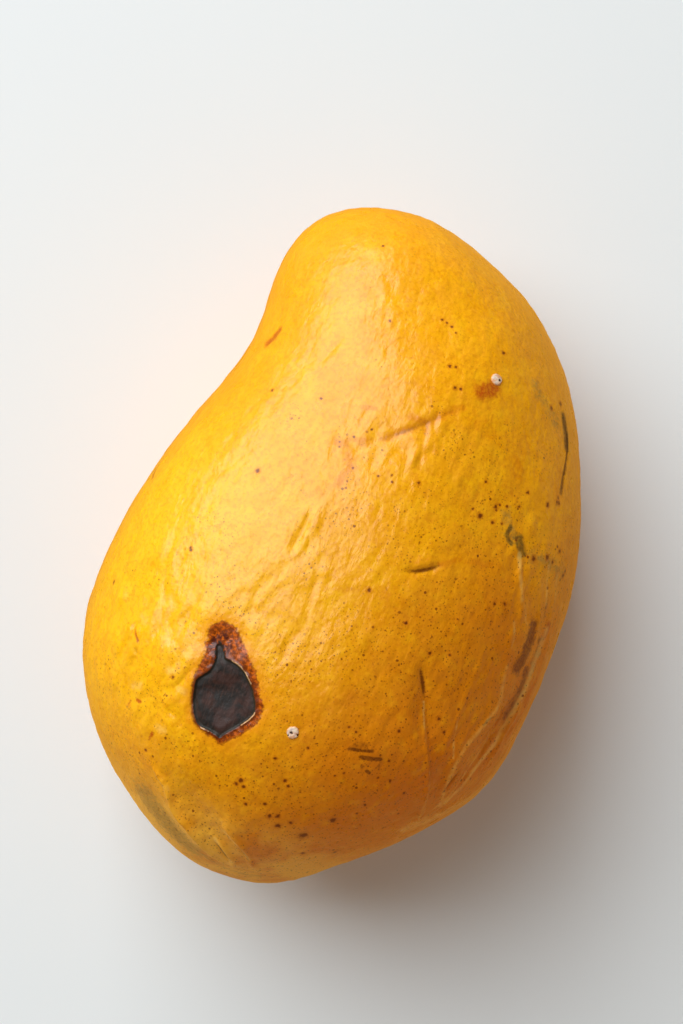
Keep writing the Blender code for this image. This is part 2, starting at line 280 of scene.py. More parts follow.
# Larger brown dots: place in pixels and radius
DOTS = [((240.8, 780.5), 0.42), ((236.5, 784), 0.30), ((243.5, 787), 0.30), ((269.5, 816), 0.38),
        ((277.5, 816.5), 0.36), ((278, 826), 0.46), ((291, 823), 0.32), ((303, 836), 0.72),
        ((333, 820), 0.55), ((258, 470.5), 0.36), ((190.5, 548), 0.26), ((430, 653), 0.28),
        ((450, 655), 0.22), ((275, 758), 0.28), ((308, 748), 0.25), ((285, 781), 0.30), ((288, 786), 0.25),
        ((265, 804), 0.30), ((246, 804), 0.28), ((365, 805), 0.28), ((439, 719), 0.30), ((444, 732), 0.26),
        ((480, 515.8), 0.42), ((495.8, 506.7), 0.33), ((527.5, 492.5), 0.28), ((492.5, 522.5), 0.30),
        ((547.5, 505), 0.36), ((560, 404), 0.42), ((551, 408), 0.36), ((335, 852), 0.30), ((303, 853), 0.32),
        ((173, 677), 0.28), ((504, 353), 0.30), ((419, 483), 0.26), ((369, 590), 0.32), ((339.5, 442), 0.15),
        ((339.5, 447), 0.16), ((390, 781), 0.28), ((399, 731), 0.26), ((353, 468), 0.18), ((378, 476), 0.19),
        ((406, 623), 0.28), ((534, 559), 0.44), ((547, 557.4), 0.42), ((553, 562), 0.28), ((559, 551), 0.34),
        ((557, 546.4), 0.20), ((565, 571), 0.28), ((563, 575.6), 0.34), ((528, 557), 0.20),
        ((507, 506.6), 0.24), ((519, 506.6), 0.22), ((500, 505), 0.20), ((559, 503), 0.30),
        ((494.6, 603.6), 0.26), ((504.6, 604), 0.28), ((548, 588), 0.22), ((501.6, 523.6), 0.20),
        ((371.7, 429.5), 0.16), ((367, 432), 0.16), ((354, 437), 0.17), ((392, 482), 0.18),
        ((392, 475), 0.16), ((347, 481), 0.16), ((346, 488), 0.15), ((349, 727), 0.22), ((356, 732), 0.22),
        ((389, 761), 0.22), ((378, 778), 0.22), ((344, 773), 0.22), ((335, 776), 0.20), ((404, 793), 0.24),
        ((473, 509), 0.22), ((486, 482), 0.22), ((557, 502), 0.26), ((558, 498), 0.24), ((442, 320), 0.20),
        ((447, 323), 0.20), ((452, 327), 0.22), ((456, 333), 0.20), ((450, 366), 0.28), ((456, 367), 0.22),
        ((455, 388), 0.30), ((461, 389), 0.24), ((390, 321), 0.22), ((383, 246), 0.20), ((321, 398.5), 0.24),
        ((272, 390), 0.26), ((114, 582), 0.30), ((146, 750), 0.24), ((191, 550), 0.26)]

# Fine brown specks in layers: distance apart, radius as a share of that, a shift that sets the layers
# apart, and how strong
SPECKS = [(1.30, 0.16, 1.0, 0.80), (2.6, 0.12, 6.0, 0.90), (0.90, 0.20, 11.0, 0.60), (0.62, 0.26, 15.0, 0.50)]

# Where the skin is most shrivelled: place in pixels, radius in mm, how much
SHRIVELLED = [((125, 620), 14, 1.1), ((160, 700), 11, 0.8), ((150, 560), 12, 0.7), ((200, 840), 12, 0.3),
              ((230, 610), 10, 0.55), ((300, 610), 9, 0.6), ((430, 450), 8, 0.9), ((470, 480), 8, 0.5),
              ((545, 660), 16, 0.6), ((460, 760), 13, 0.5), ((535, 560), 11, 0.6), ((400, 560), 7, 0.4),
              ((325, 530), 10, 0.5), ((395, 450), 12, 0.45), ((290, 380), 12, 0.4), ((340, 350), 10, 0.3),
              ((430, 830), 9, 0.6), ((510, 720), 10, 0.8)]

# The layers of wrinkles: the sizes of their swells along X, Y and Z, and where each layer's noise begins
BEND_SIZES, BEND_SEED, BEND = (9, 13, 9), 3.1, 1.6
BULGE_SIZES, BULGE_SEED = (3.0, 5.4, 3.0), 7.7
SMALL_SIZES, SMALL_SEED = (1.4, 3.0, 1.4), 17.9
BROAD_SIZES, BROAD_SEED = (7.5, 11.0, 7.5), 12.3
# How high they are, and how loose the skin is where nothing shrivels it, and on the side that doesn't show
BULGE_HEIGHT, SMALL_HEIGHT, SMALL_LOOSE_HEIGHT, BROAD_HEIGHT = 0.36, 0.05, 0.13, 0.15
LEAST_LOOSE, UNSEEN_LOOSE = 0.22, 0.5

# The skin gets warmer towards the right and the stem end, by so much a mm. This is partly the fruit's own
# blush and partly painted light and shade: more lemon towards the window, darker orange away from it
WARMER_AND_SHADED_RIGHT, WARMER_AND_SHADED_TO_STEM = 0.0095, 0.0085
LEMON = (251, 182, 6)
GOLD = (245, 165, 2)
DEEP_ORANGE = (216, 110, 0)
# Patches in the ground colour: size, detail and roughness of the noise and how far it is shifted, at which
# noise a patch begins and is full, the same for the warmth where that matters, how strong, and colour
PATCHES = {
    "cloudy": (3.4, 4.0, 0.60, (9, 4, 1), (0.40, 0.72), None, 0.24, (226, 134, 0)),
    "pale": (2.3, 3.0, 0.60, (5, 1, 2), (0.50, 0.74), None, 0.26, (253, 182, 6)),
    "golden": (5.5, 3.0, 0.60, (8, 8, 3), (0.46, 0.70), (0.45, 0.0), 0.40, (254, 187, 6)),
    "umber": (6.5, 4.0, 0.60, (1, 8, 6), (0.48, 0.72), (0.0, 0.3), 0.32, (200, 108, 0)),
    "grain": (0.7, 4.0, 0.70, (2, 8, 5), (0.46, 0.64), None, 0.38, (210, 118, 0)),
    "russet": (1.7, 4.0, 0.65, (3, 9, 6), (0.46, 0.70), (-0.1, 0.35), 0.38, (200, 108, 0)),
}
# The flanks turn a brighter gold from the first height down to the second: painted light, for light bounced
# up from the table round the rim. The skin is tan, thin and dry from the first distance towards the stem end
# to the second, and that tan is made pale enough to be partly painted light, for light the stem end lacks
BOUNCE_LIGHT_HEIGHTS, BOUNCE_LIGHT_GOLD = (47, 33), (254, 168, 10)
DRY_FROM_TO, TAN_AND_LIGHT = (44, 56), (255, 190, 60)
SPECK_BROWN = (128, 56, 0)
DOT_HALO, DOT_BROWN = (190, 94, 0), (108, 44, 3)
# The brown of the creases' bottoms: partly their own browning, partly painted shade
CREASE_BROWN_AND_SHADE = (120, 56, 0)

# How rough the skin is, from glossy to dull, and how much rougher where it is dry, bruised, and on the plate
SKIN_ROUGHNESS = (0.26, 0.36)
DRY_ROUGHER, BRUISED_ROUGHER, PLATE_ROUGHER = 0.22, 0.12, 0.30
# The fine grain, which is only bump: its sizes, and how deep or high it is
PIT_SIZE, PIT_DEPTH = 1.05, 0.035
CREPE_SIZE, CREPE_HEIGHT = 1.9, 0.22
GRAIN_SIZE, GRAIN_HEIGHT = 0.55, 0.035

# The two scale insects: place in pixels, radius, and the dark holes in its cover, by how far to the
# photograph's right and up they are from its middle, with their radius
SCALE_INSECTS = {
    "scale_insect_upper": ((496.5, 379.6), 1.08, [(0.58, -0.12, 0.27)]),
    "scale_insect_lower": ((292.8, 732.5), 1.10,
                           [(-0.28, 0.06, 0.30), (-0.12, -0.10, 0.24), (-0.78, -0.46, 0.16),
                            (0.78, -0.38, 0.22)]),
}
# The shape of a cover in shares of its radius: how high it is, how far it goes into the skin, its brim's
# height, place and width, how wavy its edge is, and how deep the dents of its holes are
COVER_HEIGHT, COVER_FOOT = 0.30, 0.25
BRIM_HEIGHT, BRIM_PLACE, BRIM_WIDTH = 0.05, 0.8, 0.15
EDGE_WAVES, DENT_DEPTH = 0.16, 0.16


def deselect_all():
    if bpy.context.object and bpy.context.object.mode != "OBJECT":
        bpy.ops.object.mode_set(mode="OBJECT")
    bpy.ops.object.select_all(action="DESELECT")


def from_photo(right, up, height):
    """A place in the scene, in metres, from mm to the photograph's right and up and above the table."""
    return (RIGHT * right + UP * up + Vector((0, 0, height))) * MM


def through_pixel(pixel):
    """The direction in which the camera sees a pixel of the photograph."""
    across = (pixel[0] - PHOTO_WIDTH / 2) / PIXELS_PER_RADIAN
    down = (pixel[1] - PHOTO_HEIGHT / 2) / PIXELS_PER_RADIAN
    return (RIGHT * across - UP * down - Vector((0, 0, 1))).normalized()


def seen_at(points):
    """The pixels of the photograph where points of the scene, in mm, show."""
    away = points - np.array(CAMERA_PLACE)
    depth = -away[:, 2]
    across = away @ np.array(RIGHT) / depth * PIXELS_PER_RADIAN
    down = -(away @ np.array(UP)) / depth * PIXELS_PER_RADIAN
    return np.column_stack([PHOTO_WIDTH / 2 + across, PHOTO_HEIGHT / 2 + down])


def smooth_path(points, closed=False, per_span=16):
    """A smooth curve through the points, with many points of its own."""
    points = np.array(points, float)
    if closed:
        padded = np.array([points[-1], *points, points[0], points[1]])
    else:
        padded = np.array([2 * points[0] - points[1], *points, 2 * points[-1] - points[-2]])
    spans = len(padded) - 3
    spread = np.linspace(0, spans, spans * per_span + (not closed), endpoint=not closed)
    first = np.minimum(spread.astype(int), spans - 1)
    t = (spread - first)[:, None]
    p0, p1, p2, p3 = (padded[first + i] for i in range(4))
    return p1 + t / 2 * (p2 - p0 + t * (2 * p0 - 5 * p1 + 4 * p2 - p3 + t * (3 * (p1 - p2) + p3 - p0)))


def smooth_step(values, low, high):
    t = np.clip((values - low) / (high - low), 0, 1)
    return t * t * (3 - 2 * t)


def bell(values):
    return np.exp(-(values**2))


class Skin:
    """The mango's skin: its object, and its points in mm with the outward directions."""

    def __init__(self, piece):
        self.piece = piece
        self.read()
        faces = [tuple(face.vertices) for face in piece.data.polygons]
        self.tree = BVHTree.FromPolygons([Vector(point) for point in self.points], faces)

    def read(self):
        mesh = self.piece.data
        flat = np.empty(len(mesh.vertices) * 3, np.float32)
        mesh.vertices.foreach_get("co", flat)
        self.points = flat.reshape(-1, 3).astype(float) / MM
        mesh.vertex_normals.foreach_get("vector", flat)
        self.outward = flat.reshape(-1, 3).astype(float)

    def raise_by(self, heights):
        """Moves each point outwards by its height in mm."""
        self.points += self.outward * heights[:, None]
        self.piece.data.vertices.foreach_set("co", (self.points * MM).astype(np.float32).ravel())
        self.piece.data.update()
        self.read()

    def under(self, pixel):
        """The point of the skin that shows at a pixel, or just inside the outline for one that is off it."""
        pixel = np.array(pixel, float)
        for inwards in (0.0, 0.01, 0.02, 0.04):
            aim = through_pixel(pixel + (FRUIT_MIDDLE - pixel) * inwards)
            found = self.tree.ray_cast(CAMERA_PLACE, aim)[0]
            if found:
                return np.array(found)
        raise ValueError(f"the pixel {pixel} is far off the fruit")

    def route(self, pixels):
        """A smooth line on the skin through the points that show at these pixels."""
        return smooth_path([self.under(pixel) for pixel in pixels])

    def near_route(self, route, reach):
        """(which points are near the route, how far they are from it, how far along it, 0 to 1)."""
        inside = np.all((self.points > route.min(0) - reach) & (self.points < route.max(0) + reach), axis=1)
        which = np.flatnonzero(inside)
        away = np.linalg.norm(self.points[which, None] - route[None], axis=2)
        nearest = away.argmin(axis=1)
        away = away.min(axis=1)
        close = away < reach
        return which[close], away[close], nearest[close] / (len(route) - 1)

    def keep(self, name, values):
        """Stores a value for each point, for the material to read."""
        layer = self.piece.data.attributes.new(name, "FLOAT", "POINT")
        layer.data.foreach_set("value", values.astype(np.float32))

    def noise(self, size, seed=0.0):
        """Smooth noise from -1 to 1, with swells of the given sizes in mm along X, Y and Z."""
        scaled = self.points / np.array(size) + seed
        return np.array([noise.noise(Vector(point)) for point in scaled])


def finer_skin():
    """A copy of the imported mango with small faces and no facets."""
    deselect_all()
    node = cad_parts["mango"]
    node.select_set(True)
    bpy.context.view_layer.objects.active = node
    bpy.ops.object.duplicate()
    piece = bpy.context.object
    piece.name = piece.data.name = "ripe_mango"
    for key in list(piece.keys()):
        del piece[key]
    piece.parent = None
    bpy.ops.mesh.customdata_custom_splitnormals_clear()
    bpy.ops.object.mode_set(mode="EDIT")
    bpy.ops.mesh.select_all(action="SELECT")
    bpy.ops.mesh.remove_doubles(threshold=1e-6)
    bpy.ops.mesh.tris_convert_to_quads(face_threshold=math.radians(40), shape_threshold=math.radians(60))
    bpy.ops.object.mode_set(mode="OBJECT")
    rounder = piece.modifiers.new("rounder", "SUBSURF")
    rounder.levels = rounder.render_levels = 1
    bpy.ops.object.modifier_apply(modifier=rounder.name)
    bpy.ops.object.shade_smooth()
    divide_faces(piece, face_values(piece, "normal")[:, 2] > COARSE_BELOW, smoothness=1.0)
    return piece


def divide_faces(piece, chosen, smoothness=0.0):
    """Halves the edges of the chosen faces, and rounds the surface between them if smoothness is 1."""
    deselect_all()
    bpy.context.view_layer.objects.active = piece
    piece.select_set(True)
    piece.data.vertices.foreach_set("select", np.zeros(len(piece.data.vertices), bool))
    piece.data.edges.foreach_set("select", np.zeros(len(piece.data.edges), bool))
    piece.data.polygons.foreach_set("select", chosen)
    bpy.ops.object.mode_set(mode="EDIT")
    bpy.ops.mesh.select_mode(type="FACE")
    bpy.ops.mesh.subdivide(number_cuts=1, smoothness=smoothness, ngon=False, quadcorner="INNERVERT")
    bpy.ops.object.mode_set(mode="OBJECT")


def face_values(piece, name):
    """The centres or the outward directions of a piece's faces."""
    flat = np.empty(len(piece.data.polygons) * 3, np.float32)
    piece.data.polygons.foreach_get(name, flat)
    return flat.reshape(-1, 3)


def face_centres(piece):
    return face_values(piece, "center") / MM


def close_to(places, spots, reach):
    """Which of the places are within reach of any of the spots."""
    found = np.zeros(len(places), bool)
    for spot in spots:
        found |= np.einsum("ij,ij->i", places - spot, places - spot) < reach**2
    return found


def divide_for_detail(skin):
    """Finer faces along the folds and in the scar, and finest along the edge of its plate."""
    routes = [skin.route(pixels)[::4] for pixels, *_ in FOLDS.values()]
    routes += [skin.route(pixels)[::4] for _, pixels, half_width, _ in STAINS_AND_HIGHLIGHTS if half_width < FINE_MARK]
    scar = skin.under(SCAR_MIDDLE)
    near = close_to(face_centres(skin.piece), np.concatenate(routes), FINE_REACH)
    near |= close_to(face_centres(skin.piece), [scar], SCAR_REACH)
    divide_faces(skin.piece, near)
    edge = smooth_path([skin.under(pixel) for pixel in SCAR_PLATE], closed=True, per_span=4)
    divide_faces(skin.piece, close_to(face_centres(skin.piece), edge, PLATE_EDGE_REACH))
    skin.read()


def signed_distance(pixels, outline):
    """How far each pixel is from a closed outline, negative inside it."""
    starts, ends = outline, np.roll(outline, -1, axis=0)
    along = ends - starts
    offset = pixels[:, None] - starts[None]
    share = np.clip(np.sum(offset * along, axis=2) / np.sum(along**2, axis=1), 0, 1)
    away = np.linalg.norm(offset - share[..., None] * along, axis=2).min(axis=1)
    crosses = (starts[None, :, 1] > pixels[:, None, 1]) != (ends[None, :, 1] > pixels[:, None, 1])
    with np.errstate(divide="ignore", invalid="ignore"):
        where = starts[:, 0] + (pixels[:, None, 1] - starts[:, 1]) / along[:, 1] * along[:, 0]
    inside = np.sum(crosses & (pixels[:, None, 0] < where), axis=1) % 2 == 1
    return np.where(inside, -away, away)


def distance_to_outline(skin, pixels, far=12.0):
    """How far each point of the skin is from an outline that shows in the photograph, in mm."""
    distance = np.full(len(skin.points), far)
    which = np.flatnonzero(close_to(skin.points, [skin.under(SCAR_MIDDLE)], far + 2))
    seen = seen_at(skin.points[which])
    mm_per_pixel = (CAMERA_PLACE.z - skin.points[which, 2]) / PIXELS_PER_RADIAN
    distance[which] = signed_distance(seen, smooth_path(pixels, closed=True, per_span=6)) * mm_per_pixel
    return distance


def shape_folds(skin):
    """Creases pressed into the skin and ridges raised from it, fading at both ends."""
    heights = np.zeros(len(skin.points))
    browning_and_shade = np.zeros(len(skin.points))
    for pixels, half_width, height, brown in FOLDS.values():
        route = skin.route(pixels)
        which, away, along = skin.near_route(route, 3 * half_width)
        fading = np.sqrt(np.clip(np.sin(math.pi * np.clip(along, 0.02, 0.98)), 0, 1))
        heights[which] += height * fading * bell(away / half_width)
        # The crease's brown bottom, partly painted shade
        browning_and_shade[which] = np.maximum(browning_and_shade[which], brown * fading * bell(away / (0.62 * half_width)))
    skin.raise_by(heights)
    skin.keep("crease_brown_and_shade", browning_and_shade)


def shape_wrinkles(skin):
    """Loose skin all over, in soft bulges with creases between them, deepest where it is most shrivelled."""
    before = skin.points.copy()
    bend = skin.noise(BEND_SIZES, BEND_SEED)
    skin.points = before + np.column_stack([bend, 0.6 * bend, -bend]) * BEND
    bulges = 2 * np.abs(skin.noise(BULGE_SIZES, BULGE_SEED)) - 0.55
    small = skin.noise(SMALL_SIZES, SMALL_SEED)
    broad = skin.noise(BROAD_SIZES, BROAD_SEED)
    skin.points = before
    loose = np.full(len(before), LEAST_LOOSE)
    for pixel, radius, strength in SHRIVELLED:
        away = np.linalg.norm(before - skin.under(pixel), axis=1)
        loose = np.maximum(loose, strength * bell(away / radius))
    unseen = smooth_step(-skin.outward[:, 2], -0.35, 0.1)
    loose = np.maximum(loose, UNSEEN_LOOSE * unseen)
    lifted = smooth_step(before[:, 2], 1.0, 8.0)
    heights = BULGE_HEIGHT * loose * bulges + (SMALL_HEIGHT + SMALL_LOOSE_HEIGHT * loose) * small
    skin.raise_by((heights + BROAD_HEIGHT * broad) * lifted)


def shape_scar(skin):
    """The sunken plate of the scar, with a torn rim standing up round part of it."""
    plate = distance_to_outline(skin, SCAR_PLATE)
    patch = distance_to_outline(skin, SCAR_PATCH)
    rough = skin.noise((1.1, 1.1, 1.1), 21.0) * bell(plate / 4)
    neck = bell(np.linalg.norm(skin.points - skin.under(SCAR_NECK), axis=1) / NECK_RADIUS)
    sunk = -PLATE_DEPTH * smooth_step(-plate, -0.1, PLATE_WALL)
    seen = seen_at(skin.points)
    torn = np.zeros(len(skin.points))
    for middle, radius in TORN_RIM_ARCS:
        away = np.linalg.norm(seen - np.array(middle), axis=1)
        torn = np.maximum(torn, smooth_step(-away, -radius, -0.6 * radius))
    rim = TORN_RIM_HEIGHT * torn * bell((plate - 0.1) / TORN_RIM_WIDTH)
    inside = smooth_step(-plate, 0.0, 1.5)
    doming = PLATE_DOME * inside + 0.05 * rough * inside
    lumps = PATCH_LUMPS * rough * smooth_step(-patch, -0.4, 0.8) * (1 - inside)
    neck_sunk = -NECK_DEPTH * smooth_step(-patch, 0.0, 0.5) * neck
    skin.raise_by(sunk + rim + doming + lumps + neck_sunk)
    skin.keep("plate_edge", plate)
    skin.keep("patch_edge", patch)
    skin.keep("torn", torn)
    skin.keep("neck", neck)


def keep_stains_and_highlights(skin):
    """Stores how strong the stains and the painted highlights of each kind are."""
    for kind in STAIN_AND_HIGHLIGHT_KINDS:
        strength = np.zeros(len(skin.points))
        for of_kind, pixels, half_width, strong in STAINS_AND_HIGHLIGHTS:
            if of_kind == kind:
                which, away, _ = skin.near_route(skin.route(pixels), 2.5 * half_width)
                strength[which] = np.maximum(strength[which], strong * bell(away / half_width))
        skin.keep(kind + "_mark", strength)


def srgb(red, green, blue):
    """A colour in linear light, from the 0 to 255 numbers that a picture shows."""
    return tuple(((c / 255 + 0.055) / 1.055) ** 2.4 if c > 10 else c / 3294 for c in (red, green, blue))


class Recipe:
    """A material's nodes, added one at a time. An amount goes from 0 to 1."""

    def __init__(self, name):
        self.material = bpy.data.materials.new(name)
        self.material.use_nodes = True
        self.tree = self.material.node_tree
        self.shader = self.tree.nodes["Principled BSDF"]
        self.place = self.add("TexCoord").outputs["Object"]

    def fill_in(self, socket, value):
        if isinstance(value, bpy.types.NodeSocket):
            self.tree.links.new(value, socket)
        else:
            socket.default_value = value

    def add(self, kind, inputs=None, **settings):
        node = self.tree.nodes.new("ShaderNode" + kind)
        for name, value in settings.items():
            setattr(node, name, value)
        for key, value in (inputs or {}).items():
            self.fill_in(node.inputs[key], value)
        return node

    def use(self, name, value):
        """Sets an input of the shader itself."""
        self.fill_in(self.shader.inputs[name], value)

    def in_mm(self, stretch=(1, 1, 1), shift=(0, 0, 0)):
        """Object coordinates in mm, divided by stretch along each axis."""
        scale = [1 / MM / side for side in stretch]
        return self.add("Mapping", {"Vector": self.place, "Scale": scale, "Location": shift}).outputs[0]

    def away_from(self, place, unit=1.0):
        """How far each point is from a place in mm, in units of so many mm."""
        metres = self.add("VectorMath", {0: self.place, 1: Vector(place) * MM}, operation="DISTANCE")
        return self.times(metres.outputs["Value"], 1 / MM / unit)

    def noise(self, size, detail=3.0, roughness=0.55, stretch=(1, 1, 1), shift=(0, 0, 0), distortion=0.0):
        """Noise from 0 to 1, with swells of about this size in mm."""
        inputs = {"Vector": self.in_mm(stretch, shift), "Scale": 1 / size, "Detail": detail,
                  "Roughness": roughness, "Distortion": distortion}
        return self.add("TexNoise", inputs).outputs["Fac"]

    def swing(self, size, detail=3.0, roughness=0.55, shift=(0, 0, 0)):
        """The same noise, from -0.5 to 0.5."""
        return self.calc("SUBTRACT", self.noise(size, detail, roughness, shift=shift), 0.5)

    def cells(self, size, feature="F1", stretch=(1, 1, 1), shift=(0, 0, 0), **inputs):
        """How far the nearest of scattered middles is, as a share of their distance apart in mm."""
        inputs = {"Vector": self.in_mm(stretch, shift), "Scale": 1 / size, "Randomness": 1.0, **inputs}
        return self.add("TexVoronoi", inputs, feature=feature).outputs["Distance"]

    def calc(self, operation, first, second=0.0, third=0.0):
        return self.add("Math", {0: first, 1: second, 2: third}, operation=operation).outputs[0]

    def times(self, first, second):
        return self.calc("MULTIPLY", first, second)

    def plus(self, value, more, scale=1.0):
        """The value and so many times more."""
        return self.calc("MULTIPLY_ADD", more, scale, value)

    def step(self, value, low, high, start=0.0, end=1.0):
        """Goes smoothly from start to end as the value goes from low to high."""
        inputs = {"Value": value, "From Min": low, "From Max": high, "To Min": start, "To Max": end}
        return self.add("MapRange", inputs, interpolation_type="SMOOTHSTEP").outputs["Result"]

    def mix(self, amount, first, second):
        """Goes from the first colour to the second."""
        node = self.add("Mix", {"Factor": amount}, data_type="RGBA")
        for socket, colour in zip((node.inputs[6], node.inputs[7]), (first, second)):
            self.fill_in(socket, (*srgb(*colour), 1.0) if isinstance(colour, tuple) else colour)
        return node.outputs[2]

    def lay(self, colour, ground, amount, strength):
        """The ground colour under another one, which is so strong where its amount is 1."""
        return self.mix(self.times(amount, strength), ground, colour)

    def kept(self, name):
        """A value that was stored for each point of the skin."""
        return self.add("Attribute", attribute_name=name).outputs["Fac"]


def ground_colour(r):
    """(the ground colour, how warm it is, how dry the skin is). The colour is gold, more lemon on the upper
    left, deep orange at the right and at the stem end: partly the fruit's own blush, partly painted light
    and shade, lighter towards the window and darker away from it."""
    x, y, z = r.add("SeparateXYZ", {0: r.in_mm()}).outputs
    # How warm the skin is: partly its own blush, partly painted shade on the side away from the window
    warm = r.plus(r.times(x, WARMER_AND_SHADED_RIGHT), y, -WARMER_AND_SHADED_TO_STEM)
    warm = r.plus(warm, r.swing(24, 2.0), 0.6)
    ground = r.mix(r.step(r.away_from(LEMON_AND_LIGHT_MIDDLE), 12, 44), LEMON, GOLD)
    ground = r.mix(r.step(warm, 0.04, 0.56), ground, DEEP_ORANGE)
    for size, detail, roughness, shift, noise_range, warm_range, strength, colour in PATCHES.values():
        amount = r.step(r.noise(size, detail, roughness, shift=shift), *noise_range)
        if warm_range:
            amount = r.times(amount, r.step(warm, *warm_range))
        ground = r.lay(colour, ground, amount, strength)
    uneven = r.step(r.noise(5, 3.0, stretch=(1, 2, 1), shift=(2, 2, 7)), 0.25, 0.55, 0.55, 0.95)
    # Painted light: the flanks a brighter gold, for light bounced up from the table
    ground = r.mix(r.times(r.step(z, *BOUNCE_LIGHT_HEIGHTS), uneven), ground, BOUNCE_LIGHT_GOLD)
    dry = r.step(r.times(y, -1.0), *DRY_FROM_TO)
    # The tan of the dry stem end, pale enough to be partly painted light
    tan_and_light = r.times(dry, r.step(r.noise(8, 3.0, shift=(3, 3, 3)), 0.30, 0.55))
    return r.lay(TAN_AND_LIGHT, ground, tan_and_light, 0.75), warm, dry


def stem_scar(r, ground):
    """The corky scar of the stem, in a ring of browned skin."""
    away = r.plus(r.away_from(STEM_PLACE), r.swing(1.5, 4.0, 0.6, shift=(6, 6, 2)), 2.6)
    ground = r.mix(r.step(away, 8.5, 3.8, 0.0, 0.75), ground, (196, 116, 26))
    cork = r.mix(r.step(r.noise(0.7, 4.0, 0.6), 0.38, 0.62), (88, 60, 36), (146, 110, 72))
    ground = r.mix(r.step(away, 3.7, 3.0), ground, cork)
    ring = r.step(r.calc("ABSOLUTE", r.calc("SUBTRACT", away, 3.6)), 0.7, 0.1, 0.0, 0.85)
    return r.mix(ring, ground, (58, 32, 14))


def stains_and_highlights(r, ground, broken):
    """(the ground colour with the stains and the painted highlights on it, how bruised it is). Noise breaks
    up their edges.
    """
    mottled = r.step(r.noise(0.42, 3.0, 0.6, shift=(7, 3, 4)), 0.38, 0.60, 0.72, 1.0)
    bruised = 0.0
    for kind, (colour, ragged, strength) in STAIN_AND_HIGHLIGHT_KINDS.items():
        kept = r.kept(kind + "_mark")
        amount = r.step(r.plus(kept, broken, ragged), 0.12, 0.80)
        amount = r.times(r.times(amount, r.step(kept, 0.02, 0.30)), mottled)
        ground = r.lay(colour, ground, amount, strength)
        if kind in BRUISES:
            bruised = r.calc("MAXIMUM", bruised, amount)
    return ground, bruised


def specks(r, ground, warm):
    """Fine brown specks, crowded towards the right and the stem end."""
    crowd = r.step(r.plus(warm, r.noise(7, 3.0, shift=(7, 7, 0)), 2.2), 0.80, 1.45, 0.12, 1.0)
    uneven = r.times(r.swing(0.4, 2.0), 0.10)
    for apart, radius, shift, strength in SPECKS:
        near = r.plus(r.cells(apart, shift=(shift, shift, shift)), uneven)
        speck = r.times(r.step(near, radius, 0.55 * radius), crowd)
        ground = r.lay(SPECK_BROWN, ground, speck, strength)
    return ground


def dots(r, ground, skin):
    """The larger dots, each in its own place, with a ragged edge and a paler halo."""
    away = 1000.0
    for pixel, radius in DOTS:
        away = r.calc("MINIMUM", away, r.away_from(skin.under(pixel), radius))
    away = r.plus(away, r.swing(0.45, 3.0, 0.6, shift=(2, 5, 5)), 2.2)
    ground = r.mix(r.step(away, 2.5, 1.0, 0.0, 0.55), ground, DOT_HALO)
    return r.mix(r.step(away, 1.40, 0.40, 0.0, 0.92), ground, DOT_BROWN)


def crease_bottoms(r, ground, broken):
    """The brown bottoms of the creases: partly their own browning, partly painted shade."""
    kept = r.kept("crease_brown_and_shade")
    amount = r.times(r.step(r.plus(kept, broken, 0.5), 0.10, 0.85), r.step(kept, 0.02, 0.15))
    return r.lay(CREASE_BROWN_AND_SHADE, ground, amount, 0.9)


def dying_skin(r, ground):
    """(the ground colour with the dying skin round the scar, how far the plate's edge is). It is rust orange,
    with plum brown blotches in its neck."""
    uneven = r.swing(0.75, 4.0, 0.65, shift=(1, 5, 5))
    patch = r.plus(r.kept("patch_edge"), uneven, 1.5)
    plate = r.plus(r.kept("plate_edge"), uneven, r.plus(0.34, r.kept("neck"), 2.6))
    ground = r.mix(r.step(patch, 2.4, 0.2, 0.0, 0.60), ground, (236, 142, 2))
    rust = r.mix(r.step(r.noise(0.6, 3.0, 0.6), 0.38, 0.58), (204, 90, 4), (122, 44, 4))
    ground = r.mix(r.step(patch, 0.30, -0.30, 0.0, 0.95), ground, rust)
    outline = r.times(r.step(r.calc("ABSOLUTE", patch), 0.34, 0.0), r.step(r.noise(1.6, 2.0), 0.40, 0.60))
    ground = r.lay((120, 44, 2), ground, outline, 0.65)
    mottle = r.step(r.noise(0.95, 4.0, 0.7, shift=(8, 2, 2)), 0.45, 0.54)
    mottle = r.times(mottle, r.step(patch, 0.0, -0.5))
    mottle = r.times(mottle, r.step(r.kept("neck"), 0.25, 0.72, 0.22, 1.0))
    ground = r.lay((74, 26, 20), ground, mottle, 0.92)
    return r.mix(r.step(plate, 0.80, 0.10, 0.0, 0.80), ground, (96, 36, 6)), plate


def dark_plate(r, ground, plate):
    """(the colour with the dark plate in it, where the plate is). Its edge is a greenish black."""
    reddish = r.step(r.noise(2.6, 4.0, 0.6, shift=(6, 1, 8)), 0.40, 0.62)
    dark = r.mix(reddish, (34, 26, 22), (62, 34, 26))
    streaks = r.step(r.noise(0.30, 3.0, 0.6, stretch=(1, 6, 6), shift=(0, 2, 0)), 0.50, 0.70)
    dark = r.lay((92, 58, 44), dark, streaks, 0.30)
    dark = r.mix(r.step(plate, -1.1, -0.15, 0.0, 0.75), dark, (34, 30, 20))
    in_plate = r.step(plate, 0.08, -0.08)
    return r.mix(in_plate, ground, dark), in_plate


def torn_rim(r, colour, plate):
    """The pale torn rim along parts of the plate's edge."""
    rim = r.step(r.calc("ABSOLUTE", r.calc("SUBTRACT", plate, 0.06)), 0.17, 0.05)
    rim = r.times(rim, r.step(r.kept("torn"), 0.25, 0.7))
    rim = r.times(rim, r.step(r.noise(0.9, 2.0, shift=(3, 0, 3)), 0.32, 0.50))
    return r.mix(rim, colour, (204, 156, 110))


